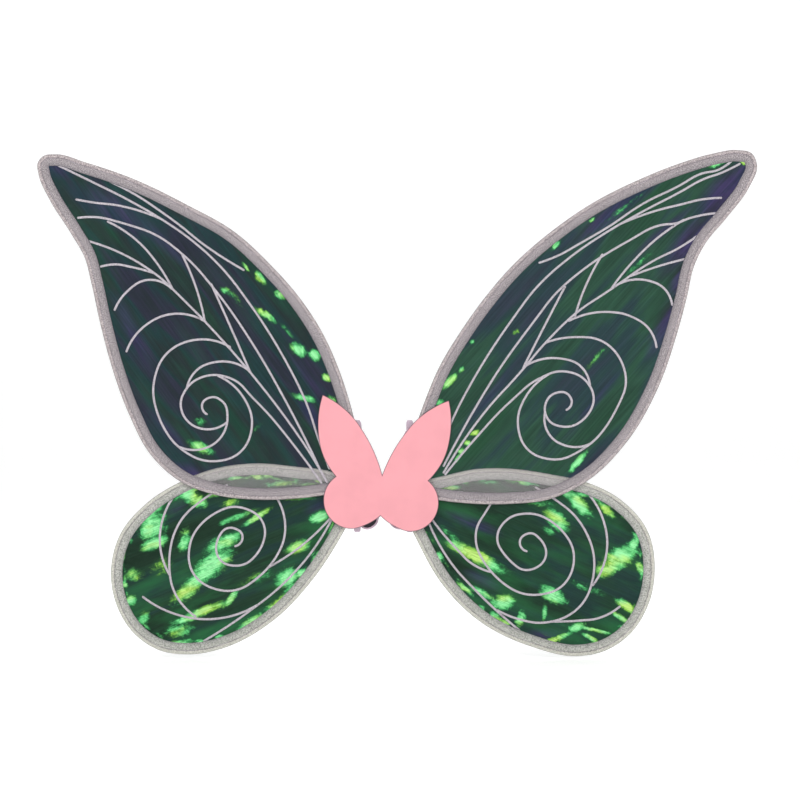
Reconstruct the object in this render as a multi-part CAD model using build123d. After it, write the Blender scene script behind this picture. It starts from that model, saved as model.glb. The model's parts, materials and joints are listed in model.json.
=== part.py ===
"""Dress-up fairy wings: four sheer wings on wire frames, joined at a small padded centre with two
elastic shoulder loops. Each wing is a wire loop in a folded edge binding, with a film panel in front,
a net panel behind it and a raised printed vein pattern on the film.

Frame: X to the right seen from the show side, Y towards the wearer's back, Z up. The origin is on
the wearer's side of the back pad, midway between the wing roots. Millimetres.
"""

from build123d import *
from math import atan2, cos, degrees, hypot, sin, sqrt, tan
import os

# ---------------------------------------------------------------- driving dimensions
WING_SPAN = 850.0           # tip to tip
WING_HEIGHT = 598.0         # lowest point of the lower wings to the tip of the upper wings

WIRE_D = 2.4                # plastic coated frame wire
WIRE_SLACK = 0.1            # play of the wire in its channel, all round
BINDING_WALL = 0.6          # wall of the wire channel, folded ribbon
SEAM_WIDTH = 1.2            # sewn strip between the channel and the flange
BINDING_WIDTH = 14.0        # outer edge of the binding to the inner edge of its flange
FLANGE_WALL = 0.45          # one layer of the ribbon on the flange
PANEL_WALL = 0.35           # film, and net
PANEL_ROOM = 1.1            # between the seam and the cut edge of the film and the net
PLY_GAP = 0.05              # free space between neighbouring plies
VEIN_WIDTH = 2.5
VEIN_RAISE = 0.45
RIM_GAP = 0.4               # free space between an upper wing's rim and the lower wing's behind it

FOLD_LINE = 40.0            # wings fold back along upright lines at this distance either side
FOLD_GAP = 1.0              # wing side pieces start this far outside the fold line
ROOT_GAP = 4.5              # centre side wire ends stop this far inside the fold line

SLEEVE_START = 3.0          # inner end of each crimp sleeve, from the middle
SLEEVE_LENGTH = 12.0
SLEEVE_WALL = 0.6
WIRE_PITCH = 2.6            # the two wires of a wing side by side in the sleeve
SLEEVE_FIT = 0.05
WRAP_WIDTH = 8.0            # tape wrapped round the stacked sleeves
WRAP_WALL = 0.4
WRAP_FIT = 0.1
WRAP_ROUND = 0.6            # corner radius of the wound tape, as a share of a sleeve's half height

COVER_WALL = 2.0            # butterfly shaped foam cover
COVER_TURN = -2.6           # glued on slightly askew, degrees
COVER_PLACE = (-1.5, 10.0)
PAD_WALL = 2.5              # felt pad on the wearer's side
EDGING_WIDTH = 1.2          # thread edging round the pad
FOAM_INSET = 9.0            # adhesive foam stays this far inside the cover's edge
FOAM_HALF_WIDTH = 30.0
FOAM_WINDOW = (1.0, 2.0)    # room round the sleeves, past their ends and above them

STRAP_PLACE = 31.0          # middle of each shoulder strap from the middle of the wings
STRAP_WIDTH = 8.0
STRAP_WALL = 1.2
STRAP_FREE = 1.8            # the loop starts this far behind its sewn ends
STRAP_PLAY = 0.3            # room beside a sewn strap end, where it lies pressed into the pad
TAB_TOP = (46.0, 77.0)      # lower and upper end of the sewn upper strap end
TAB_BOTTOM = (-56.0, -33.0)
TAB_ROUND = 3.2             # corner radius of a folded strap end
STITCH_WALL = 0.3
STITCH_LINE = 0.8
STITCH_BOX = (5.6, 12.0)    # width and height of a sewn box with its cross
STITCH_INSET = 8.0          # middle of the sewn box from the strap end's inner end

# ---------------------------------------------------------------- places that follow from them
CHANNEL = WIRE_D / 2 + WIRE_SLACK
RIM_HALF = CHANNEL + BINDING_WALL
SEAM_END = RIM_HALF + CHANNEL + SEAM_WIDTH
PANEL_TUCK = BINDING_WIDTH - SEAM_END - PANEL_ROOM    # how far the panels reach under the flange
SLEEVE_HALF = WIRE_D / 2 + SLEEVE_WALL
WRAP_HALF = max(SLEEVE_HALF + WRAP_FIT + WRAP_WALL, RIM_HALF + RIM_GAP)
PAD_FRONT = -PAD_WALL
LOWER_PLANE = PAD_FRONT - WRAP_HALF - RIM_GAP / 4
UPPER_PLANE = LOWER_PLANE - 2 * RIM_HALF - RIM_GAP
COVER_BACK = UPPER_PLANE - WRAP_HALF - RIM_GAP / 4
FOLD_PLANE = (UPPER_PLANE + LOWER_PLANE) / 2
SLEEVE_END = SLEEVE_START + SLEEVE_LENGTH
HOLE = WIRE_D / 2 + SLEEVE_FIT
PANEL_FRONT = PLY_GAP / 2 + PANEL_WALL
ROOT_TOP = WIRE_PITCH / 2 + RIM_HALF

# the outlines below are drawn for a span of 850 and a height of 598
STRETCH_X = WING_SPAN / 850
STRETCH_Z = WING_HEIGHT / 598

# ---------------------------------------------------------------- outlines, drawn by hand
# Outer edge of each wing's binding, from the root up the leading edge, round the tip and back.
# The first and last points are the root, and follow from the sleeve.
UPPER_LEFT_EDGE = [
    (-23, 14), (-28, 48), (-40, 99), (-53, 138), (-72, 180), (-98, 220), (-133, 260), (-177, 300),
    (-230, 330), (-300, 363.5), (-350, 380.5), (-388, 390.5), (-401, 388.5), (-408, 380), (-407, 367),
    (-394, 337), (-370, 299), (-352, 267), (-345, 240), (-334, 190), (-321, 141), (-300, 83),
    (-274, 35), (-240, 4.5), (-200, -11), (-150, -17), (-100, -15.5), (-55, -9.5),
]
UPPER_RIGHT_EDGE = [
    (23, 13), (32, 50), (49, 100), (66, 140), (90, 180), (120, 222), (150, 257), (200, 301),
    (250, 335), (300, 360), (350, 380), (389, 391.5), (417, 395.5), (435, 391), (440.5, 379),
    (431, 351), (406, 317), (379, 284), (367, 260), (358, 222), (347, 181), (324, 115),
    (287, 51), (239, 4), (194, -17), (150, -22), (100, -21.5), (55, -15.5),
]
LOWER_LEFT_EDGE = [
    (-45, 10.5), (-66, 17.2), (-100, 21.5), (-150, 25.7), (-193, 21), (-240, 4), (-280, -21.5),
    (-311, -58), (-322, -106), (-314, -145), (-293, -177), (-265, -195), (-230, -200), (-182, -190),
    (-129, -159), (-82, -109.5), (-46, -53), (-33, -28), (-22.5, -9.5),
]
LOWER_RIGHT_EDGE = [
    (40, 4.5), (70, 10.8), (109, 19), (150, 19.5), (200, 12.3), (241, 3), (280, -17),
    (312, -54), (320.5, -103), (313, -141), (290, -177), (262, -195.5), (230, -202), (174, -190.5),
    (115, -162), (70, -118), (40, -66), (28, -40), (21, -12),
]

# Middle line of each printed vein.
UPPER_LEFT_VEINS = [
    [(-385, 378), (-350, 361), (-300, 336), (-262, 314), (-230, 292), (-200, 266), (-150, 203),
     (-120, 155), (-91, 97), (-75, 50), (-64, 20)],
    [(-352, 370), (-300, 347), (-250, 314), (-205, 279), (-165, 254)],
    [(-362, 337), (-345, 334), (-310, 329.5), (-262, 314)],
    [(-360, 315.5), (-346, 316.5), (-300, 307), (-270, 296), (-232, 268), (-196, 227), (-150, 160),
     (-113, 95), (-75, 19)],
    [(-325, 311), (-290, 288), (-265, 259), (-249, 232)],
    [(-348, 288), (-310, 274), (-270, 250), (-230, 213), (-190, 171), (-157, 133), (-120, 86),
     (-88, 40), (-66, 3)],
    [(-333, 258), (-318, 260.5), (-295, 257), (-270, 250)],
    [(-317, 207), (-303, 228), (-280, 242), (-250, 232)],
    [(-237, 271), (-220, 230), (-211, 195)],
    [(-303, 158), (-285, 185), (-250, 202), (-210, 193)],
    [(-203, 237), (-180, 186), (-157, 133)],
    [(-181, 163), (-218, 172), (-255, 156), (-271, 120), (-263, 76), (-240, 44), (-205, 28.5),
     (-167, 41), (-155, 72), (-168, 108), (-195, 129)],
    [(-157, 134), (-193, 146), (-222, 134), (-232, 114)],
    [(-70, -2), (-100, 40), (-150, 99), (-180, 126), (-203, 130), (-229, 118), (-239, 93), (-228, 73),
     (-208, 66), (-185, 74)],
    [(-240, 45), (-218, 42), (-194, 54), (-184, 78), (-189, 98), (-202, 104), (-214, 94), (-208.5, 84)],
]
UPPER_RIGHT_VEINS = [
    [(420, 379), (402, 370), (375, 360), (350, 346), (306, 323), (264, 299), (224, 272), (183, 236),
     (150, 193), (109, 130), (83, 81), (70, 50)],
    [(413, 385), (399, 374), (371, 366), (350, 354), (306, 332), (264, 304), (234, 286.5), (205, 270.5),
     (184, 262.5)],
    [(398, 339), (375, 337), (350, 331), (329, 326), (280, 308.5)],
    [(394, 321), (361, 315), (345, 309), (328, 307), (285, 286), (239, 257), (205, 228), (175, 190),
     (138, 139), (103, 82), (71, 23)],
    [(354, 313), (328, 295.5), (289, 258), (268, 231)],
    [(370, 294), (352, 282), (317, 264), (268, 231), (227, 203), (191, 168), (162, 134), (118, 84.5),
     (71, 15)],
    [(356, 267), (333, 261), (292, 247)],
    [(340.5, 213), (333, 230), (306, 242.5), (268, 231)],
    [(258, 272), (238, 234), (226, 200)],
    [(322, 163), (315, 182), (290, 200), (263, 204.5), (219, 194)],
    [(214, 234), (191, 190), (166, 141)],
    [(191, 168), (219, 174.5), (263, 167), (285, 133), (270, 81), (240, 46), (200, 30.5), (171, 41.5),
     (158.5, 75), (170, 108), (195, 131)],
    [(165, 139), (204, 150), (233, 140), (243.5, 119)],
    [(73, 13), (103, 49), (150, 99), (182, 125), (210, 134.5), (238, 124), (248, 103), (240, 82),
     (215, 69), (194, 78), (190.5, 93), (201, 108), (218, 107), (222, 97), (216, 89)],
    [(244, 49), (218, 46), (197, 58), (190.5, 86)],
]
LOWER_LEFT_VEINS = [
    [(-175, -72), (-166.5, -60), (-178, -50.5), (-197, -68), (-192, -89), (-172, -95), (-146, -76),
     (-142, -45), (-170, -26), (-205, -37), (-228, -68), (-224, -105), (-190, -124.5), (-136, -97),
     (-116, -50), (-128, -12)],
    [(-62, -38), (-100, -74), (-136, -97)],
    [(-60, -38), (-80, -72), (-120, -118), (-160, -150), (-212, -184)],
    [(-150, -142), (-200, -158), (-240, -154), (-284, -132)],
    [(-222, -155), (-246, -128), (-253, -90), (-243, -48), (-203, -10), (-185, 0)],
    [(-252, -107), (-264, -70), (-258, -32), (-240, -4)],
]
LOWER_RIGHT_VEINS = [
    [(169, -78), (161, -67), (171, -57), (187, -66), (192, -82), (172, -100), (146, -85.5), (134.5, -60),
     (147, -40), (171, -33.5), (205, -48), (225, -85), (212, -118), (180, -129.5), (128, -103),
     (109, -58), (126, -23), (134, -10)],
    [(57, -40), (82, -70.5), (109, -95.5), (128, -103)],
    [(53, -43), (80, -92), (112, -127.5), (160, -171)],
    [(135, -148), (159, -158), (187, -162.5), (228, -147), (249, -95), (230, -41), (200, -15), (180, -3)],
    [(198, -161), (230, -160), (254, -157), (279, -143.5)],
    [(247.5, -118), (264, -75), (254, -28), (240, -8)],
]

# Right halves of the two symmetrical butterfly outlines, from the upper notch to the lower one.
COVER_INNER = [(0, 2.5), (4, 14), (19, 44), (44, 75), (74.5, 93.5)]
COVER_OUTER = [(74.5, 93.5), (78.5, 62), (68.6, 17.5), (54.6, -2)]
COVER_LOBE = [(54.6, -2), (67.8, -27), (57, -54), (35.5, -62.8), (16, -57), (0, -46)]
PAD_INNER = [(0, 4), (11, 30), (26, 61)]
PAD_EAR = [(26, 61), (31, 65), (35, 60)]
PAD_SIDE = [(35, 60), (34.4, 10), (35, -22)]
PAD_LOBE = [(35, -22), (31, -42.5), (19, -51.5), (9.5, -46.5), (5.5, -37), (0, -31)]

# Side view of a free strap loop, y and z, from the upper sewn end round to the lower one.
STRAP_LOOP = [(34, 73), (74, 64), (102, 34), (108, -4), (92, -34), (60, -48), (26, -51)]
STRAP_TOP_EXIT = 66.0
STRAP_BOTTOM_EXIT = -48.0


# ---------------------------------------------------------------- drawing with tangent arcs
def unit(vector):
    length = hypot(vector.X, vector.Y)
    return Vector(vector.X / length, vector.Y / length)


def turned(vector, angle):
    return Vector(
        vector.X * cos(angle) - vector.Y * sin(angle),
        vector.X * sin(angle) + vector.Y * cos(angle),
    )


def left_of(vector):
    return Vector(-vector.Y, vector.X)


def flat_dot(a, b):
    return a.X * b.X + a.Y * b.Y


def one_arc(start, heading, end):
    """The arc that leaves start along heading and reaches end: three (point, direction) stations."""
    chord = end - start
    along = unit(chord)
    half_turn = atan2(heading.X * along.Y - heading.Y * along.X, flat_dot(heading, along))
    sag = hypot(chord.X, chord.Y) / 2 * tan(half_turn / 2)
    middle = (start + end) * 0.5 - left_of(along) * sag
    return [(start, heading), (middle, along), (end, turned(along, half_turn))]


def biarc(start, heading, end, arrival):
    """Two arcs, tangent to each other, from start along heading to end along arrival."""
    gap = end - start
    both = heading + arrival
    square = 4 - flat_dot(both, both)
    ahead = flat_dot(gap, both)
    reach = flat_dot(gap, gap)
    if square < 1e-6:
        handle = reach / (2 * ahead)
    else:
        handle = (sqrt(ahead * ahead + square * reach) - ahead) / square
    first, second = start + heading * handle, end - arrival * handle
    joint = (first + second) * 0.5
    return [one_arc(start, heading, joint), one_arc(joint, unit(second - first), end)]


def arcs_through(points, first=None, last=None):
    """Tangent arcs through the points. first and last are the directions at the two ends."""
    points = [Vector(*p) for p in points]
    steps = [b - a for a, b in zip(points, points[1:])]
    inner = [
        unit(a * (1 / flat_dot(a, a)) + b * (1 / flat_dot(b, b))) for a, b in zip(steps, steps[1:])
    ]

    def mirrored(heading, chord):
        along = unit(chord)
        return unit(along * (2 * flat_dot(heading, along)) - heading)

    head = Vector(*first) if first else (mirrored(inner[0], steps[0]) if inner else unit(steps[0]))
    tail = Vector(*last) if last else (mirrored(inner[-1], steps[-1]) if inner else unit(steps[-1]))
    headings = [head, *inner, tail]
    arcs = []
    for i in range(len(steps)):
        arcs += biarc(points[i], headings[i], points[i + 1], headings[i + 1])
    return arcs


def rail(arcs, aside=0.0):
    """Edges beside the arcs, to their left by aside."""
    edges = []
    for stations in arcs:
        a, m, b = [point + left_of(direction) * aside for point, direction in stations]
        bulge = abs(flat_dot(left_of(unit(b - a)), m - a))
        edges.append(Line(a, b) if bulge < 1e-4 else ThreePointArc(a, m, b))
    return edges


def ends_of(arcs, aside=0.0):
    (a, heading), (b, arrival) = arcs[0][0], arcs[-1][2]
    return a + left_of(heading) * aside, b + left_of(arrival) * aside


def closed_face(edges):
    return make_face(Wire(edges))


def ribbon(points):
    """A vein: a strip of even width along the points, with round ends."""
    arcs = arcs_through(points)
    half = VEIN_WIDTH / 2
    (a0, b0), (a1, b1) = ends_of(arcs, half), ends_of(arcs, -half)
    tip, tail = arcs[0][0], arcs[-1][2]
    caps = [
        ThreePointArc(a1, tip[0] - tip[1] * half, a0),
        ThreePointArc(b0, tail[0] + tail[1] * half, b1),
    ]
    return closed_face([*rail(arcs, half), caps[1], *rail(arcs, -half), caps[0]])


def slab(face, front, back):
    """The drawing face made solid from depth front to depth back, in the part's frame."""
    return Plane.XZ.location * (Pos(0, 0, -back) * extrude(face, back - front))


def strip(side, low, high):
    """A tall drawing face between two upright lines, low and high measured outwards on that side."""
    return Pos(side * (low + high) / 2, 0) * Rectangle(high - low, 2 * WING_HEIGHT)


def tubes(path, radius):
    """A round rod along each connected run of the path."""
    runs = Wire.combine(path.edges())
    return [sweep(Plane(origin=run @ 0, z_dir=run % 0) * Circle(radius), path=run) for run in runs]


def one_part(shape):
    """All solids of a shape as one part, so that a group exports as one node."""
    solids = shape.solids()
    return solids[0] if len(solids) == 1 else Compound(children=list(solids))


# ---------------------------------------------------------------- a wing
def wing_arcs(edge, side):
    """Arcs along the binding's outer edge, from sleeve to sleeve, with the stretch applied."""
    scaled = [(x * STRETCH_X, z * STRETCH_Z) for x, z in edge]
    root = [(side * SLEEVE_END, ROOT_TOP), *scaled, (side * SLEEVE_END, -ROOT_TOP)]
    return arcs_through(root, first=(side, 0), last=(-side, 0))


def inset(face, amount):
    return offset(face, -amount, kind=Kind.ARC)


def wing_nodes(name, edge, veins, side, plane):
    """The solids of one wing outside the fold line, and its two wire ends inside it."""
    arcs = wing_arcs(edge, side)
    first, last = ends_of(arcs)
    outline = closed_face([*rail(arcs), Line(last, first)])
    beyond = strip(side, FOLD_LINE + FOLD_GAP, WING_SPAN)
    within = strip(side, 0, FOLD_LINE - ROOT_GAP)

    def ring(outer, inner):
        wide = outline if outer == 0 else inset(outline, outer)
        return (wide - inset(outline, inner)) & beyond

    def placed(face, front, back):
        return slab(face, plane + front, plane + back)

    binding = placed(ring(0, SEAM_END), -RIM_HALF, RIM_HALF)
    binding -= placed(ring(BINDING_WALL, BINDING_WALL + 2 * CHANNEL), -CHANNEL, CHANNEL)
    flange = ring(SEAM_END - FLANGE_WALL, BINDING_WIDTH)
    flange_back = PANEL_FRONT + PLY_GAP
    for front in (-flange_back - FLANGE_WALL, flange_back):
        binding += placed(flange, front, front + FLANGE_WALL)

    panel = inset(outline, BINDING_WIDTH - PANEL_TUCK) & beyond
    film = placed(panel, -PANEL_FRONT, -PLY_GAP / 2)
    net = placed(panel, PLY_GAP / 2, PANEL_FRONT)

    scaled = [[(x * STRETCH_X, z * STRETCH_Z) for x, z in vein] for vein in veins]
    drawn = Sketch() + [ribbon(vein) for vein in scaled]
    drawn &= inset(outline, BINDING_WIDTH + PLY_GAP) & beyond
    print_on_film = placed(drawn, -PANEL_FRONT - VEIN_RAISE, -PANEL_FRONT)

    inward = -side * RIM_HALF
    start, end = ends_of(arcs, inward)
    straight = Vector(side * SLEEVE_LENGTH, 0)
    path = Wire([Line(start - straight, start), *rail(arcs, inward), Line(end, end - straight)])
    depth = Plane.XZ.location * Pos(0, 0, -plane)
    wires = [depth * Compound(children=tubes(path & part, WIRE_D / 2)) for part in (beyond, within)]
    return {
        f"{name}_wire": wires[0],
        f"{name}_binding": binding,
        f"{name}_film": film,
        f"{name}_net": net,
        f"{name}_veins": print_on_film,
        f"{name}_wire_root": wires[1],
        f"{name}_crimp_sleeve": crimp_sleeve(side, plane),
    }


def crimp_sleeve(side, plane):
    """A flattened metal sleeve crimped over both ends of a wing's wire."""
    hole = SlotCenterToCenter(WIRE_PITCH, 2 * HOLE, rotation=90)
    body = SlotCenterToCenter(WIRE_PITCH, 2 * SLEEVE_HALF, rotation=90)
    tube = extrude(body - hole, SLEEVE_LENGTH)
    start = SLEEVE_START if side > 0 else -SLEEVE_END
    return Plane(origin=(start, plane, 0), x_dir=(0, 1, 0), z_dir=(1, 0, 0)).location * tube


# ---------------------------------------------------------------- the centre
def butterfly(*stretches):
    """A closed face from the right half's stretches and their mirror image."""
    right = [arcs_through(points) for points in stretches]
    edges = [edge for arcs in right for edge in rail(arcs)]
    mirrored = [edge.mirror(Plane.YZ) for edge in edges]
    return closed_face([*edges, *mirrored])


def pad_outline():
    return butterfly(PAD_INNER, PAD_EAR, PAD_SIDE, PAD_LOBE)


def cover_outline():
    drawn = butterfly(COVER_INNER, COVER_OUTER, COVER_LOBE)
    return Pos(*COVER_PLACE) * (Rot(0, 0, COVER_TURN) * drawn)


def root_wrap(side):
    """Tape wound round the upper and lower wing's sleeves, one behind the other."""
    depth = LOWER_PLANE - UPPER_PLANE + 2 * (SLEEVE_HALF + WRAP_FIT)
    height = WIRE_PITCH + 2 * (SLEEVE_HALF + WRAP_FIT)
    corner = SLEEVE_HALF * WRAP_ROUND
    inner = RectangleRounded(depth, height, corner)
    outer = RectangleRounded(depth + 2 * WRAP_WALL, height + 2 * WRAP_WALL, corner + WRAP_WALL)
    middle = side * (SLEEVE_START + SLEEVE_LENGTH / 2)
    place = Plane(origin=(middle - WRAP_WIDTH / 2, FOLD_PLANE, 0), x_dir=(0, 1, 0), z_dir=(1, 0, 0))
    return place.location * extrude(outer - inner, WRAP_WIDTH)


def foam_face():
    """Adhesive foam: the cover's shape made smaller, open where the sleeves and their tape sit."""
    strip = Rectangle(2 * FOAM_HALF_WIDTH, WING_HEIGHT)
    past, above = FOAM_WINDOW
    window = Rectangle(2 * (SLEEVE_END + past), 2 * (ROOT_TOP + above))
    return (inset(cover_outline(), FOAM_INSET) & strip) - window


def strap_seats():
    """Where the four strap ends lie pressed into the pad, open to its sides."""
    width = STRAP_WIDTH + EDGING_WIDTH + 2 * STRAP_PLAY
    seats = []
    for side in (-1, 1):
        inner = STRAP_PLACE - STRAP_WIDTH / 2 - STRAP_PLAY
        for low, high in (TAB_TOP, TAB_BOTTOM):
            place = Pos(side * (inner + width / 2), (low + high) / 2)
            seats.append(slab(place * Rectangle(width, high - low + 2 * STRAP_PLAY), -STRAP_WALL, 0))
    return seats


def centre_nodes():
    pad = pad_outline()
    edging = offset(pad, EDGING_WIDTH, kind=Kind.ARC) - pad
    seats = strap_seats()
    return {
        "front_cover": slab(cover_outline(), COVER_BACK - COVER_WALL, COVER_BACK),
        "front_foam_tape": slab(foam_face(), COVER_BACK, UPPER_PLANE - WIRE_D / 2),
        "rear_foam_tape": slab(foam_face() & pad, LOWER_PLANE + WIRE_D / 2, PAD_FRONT),
        "back_pad": slab(pad, PAD_FRONT, 0) - seats,
        "back_pad_edging": slab(edging, PAD_FRONT, 0) - seats,
        "left_root_wrap": root_wrap(-1),
        "right_root_wrap": root_wrap(1),
    }


# ---------------------------------------------------------------- the shoulder straps
def stitch_box():
    """A sewn box with a cross in it, as thread lines."""
    width, height = STITCH_BOX
    frame = Rectangle(width, height) - Rectangle(width - 2 * STITCH_LINE, height - 2 * STITCH_LINE)
    slant = Vector(width - STITCH_LINE, height - STITCH_LINE)
    lean = degrees(atan2(slant.Y, slant.X))
    bar = Rectangle(hypot(slant.X, slant.Y), STITCH_LINE)
    return frame + Rot(0, 0, lean) * bar + Rot(0, 0, -lean) * bar


def strap_nodes(name, side):
    middle = side * STRAP_PLACE
    ends, stitches = [], []
    for low, high in (TAB_TOP, TAB_BOTTOM):
        tab = Pos(middle, (low + high) / 2) * RectangleRounded(STRAP_WIDTH, high - low, TAB_ROUND)
        ends.append(slab(tab, -STRAP_WALL, 0))
        sewn_at = low + STITCH_INSET if low > 0 else high - STITCH_INSET
        stitches.append(slab(Pos(middle, sewn_at) * stitch_box(), 0, STITCH_WALL))
    points = [(STRAP_FREE, STRAP_TOP_EXIT), *STRAP_LOOP, (STRAP_FREE, STRAP_BOTTOM_EXIT)]
    arcs = arcs_through(points, first=(1, 0), last=(-1, 0))
    half = STRAP_WALL / 2
    (a0, b0), (a1, b1) = ends_of(arcs, half), ends_of(arcs, -half)
    band = closed_face([*rail(arcs, half), Line(b0, b1), *rail(arcs, -half), Line(a1, a0)])
    side_view = Plane(origin=(middle - STRAP_WIDTH / 2, 0, 0), x_dir=(0, 1, 0), z_dir=(1, 0, 0))
    return {
        f"{name}_strap_ends": Compound(children=ends),
        f"{name}_strap_stitching": Compound(children=stitches),
        f"{name}_strap": side_view.location * extrude(band, STRAP_WIDTH),
    }


# ---------------------------------------------------------------- all of it
def build():
    nodes = {}
    nodes |= wing_nodes("upper_left", UPPER_LEFT_EDGE, UPPER_LEFT_VEINS, -1, UPPER_PLANE)
    nodes |= wing_nodes("upper_right", UPPER_RIGHT_EDGE, UPPER_RIGHT_VEINS, 1, UPPER_PLANE)
    nodes |= wing_nodes("lower_left", LOWER_LEFT_EDGE, LOWER_LEFT_VEINS, -1, LOWER_PLANE)
    nodes |= wing_nodes("lower_right", LOWER_RIGHT_EDGE, LOWER_RIGHT_VEINS, 1, LOWER_PLANE)
    nodes |= centre_nodes()
    nodes |= strap_nodes("left", -1)
    nodes |= strap_nodes("right", 1)
    return nodes


os.makedirs("parts", exist_ok=True)
for node, shape in build().items():
    export_step(one_part(shape), f"parts/{node}.step")
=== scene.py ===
"""Dress-up fairy wings: the finished look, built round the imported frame.

Frame: X to the right seen from the show side, Y towards the wearer's back, Z up, metres.
"""

import json
import math

import bmesh
import bpy
import numpy as np
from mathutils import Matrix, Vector, noise
from mathutils.kdtree import KDTree


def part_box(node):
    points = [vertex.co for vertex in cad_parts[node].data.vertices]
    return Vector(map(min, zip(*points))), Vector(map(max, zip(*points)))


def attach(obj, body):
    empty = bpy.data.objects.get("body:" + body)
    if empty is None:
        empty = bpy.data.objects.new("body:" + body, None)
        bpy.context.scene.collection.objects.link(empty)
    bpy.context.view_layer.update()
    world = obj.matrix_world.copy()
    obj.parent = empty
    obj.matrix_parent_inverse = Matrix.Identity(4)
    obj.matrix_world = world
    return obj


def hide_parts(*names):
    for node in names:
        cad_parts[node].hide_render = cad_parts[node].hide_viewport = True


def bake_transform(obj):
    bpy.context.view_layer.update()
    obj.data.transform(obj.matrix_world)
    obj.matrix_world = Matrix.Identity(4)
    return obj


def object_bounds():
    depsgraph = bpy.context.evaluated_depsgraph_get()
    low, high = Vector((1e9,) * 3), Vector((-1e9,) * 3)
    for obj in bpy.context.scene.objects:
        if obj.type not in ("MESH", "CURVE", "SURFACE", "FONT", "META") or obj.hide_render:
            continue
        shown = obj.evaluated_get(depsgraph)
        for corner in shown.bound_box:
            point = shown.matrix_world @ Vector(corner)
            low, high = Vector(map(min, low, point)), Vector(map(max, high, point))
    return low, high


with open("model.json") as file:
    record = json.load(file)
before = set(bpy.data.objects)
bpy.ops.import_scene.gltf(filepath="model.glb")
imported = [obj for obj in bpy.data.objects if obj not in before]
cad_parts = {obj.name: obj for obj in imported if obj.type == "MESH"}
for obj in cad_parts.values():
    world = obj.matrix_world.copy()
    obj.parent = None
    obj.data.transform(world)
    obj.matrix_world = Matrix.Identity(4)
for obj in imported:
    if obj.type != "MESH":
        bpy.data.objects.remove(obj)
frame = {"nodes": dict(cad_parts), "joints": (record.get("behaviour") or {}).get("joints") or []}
CAD_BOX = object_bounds()

bl_info = {
    "name": "Fairy Wings",
    "version": (1, 0, 0),
    "blender": (4, 5, 0),
    "location": "View3D > Sidebar > Wings",
    "description": "Sheer wings on wire frames with a foam butterfly centre and elastic shoulder loops",
    "category": "Add Mesh",
}

MM = 0.001


def linear(code):
    """An sRGB hex colour as linear RGBA."""
    parts = [int(code[i : i + 2], 16) / 255 for i in (1, 3, 5)]
    return (*[c / 12.92 if c <= 0.04045 else ((c + 0.055) / 1.055) ** 2.4 for c in parts], 1.0)


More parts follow.
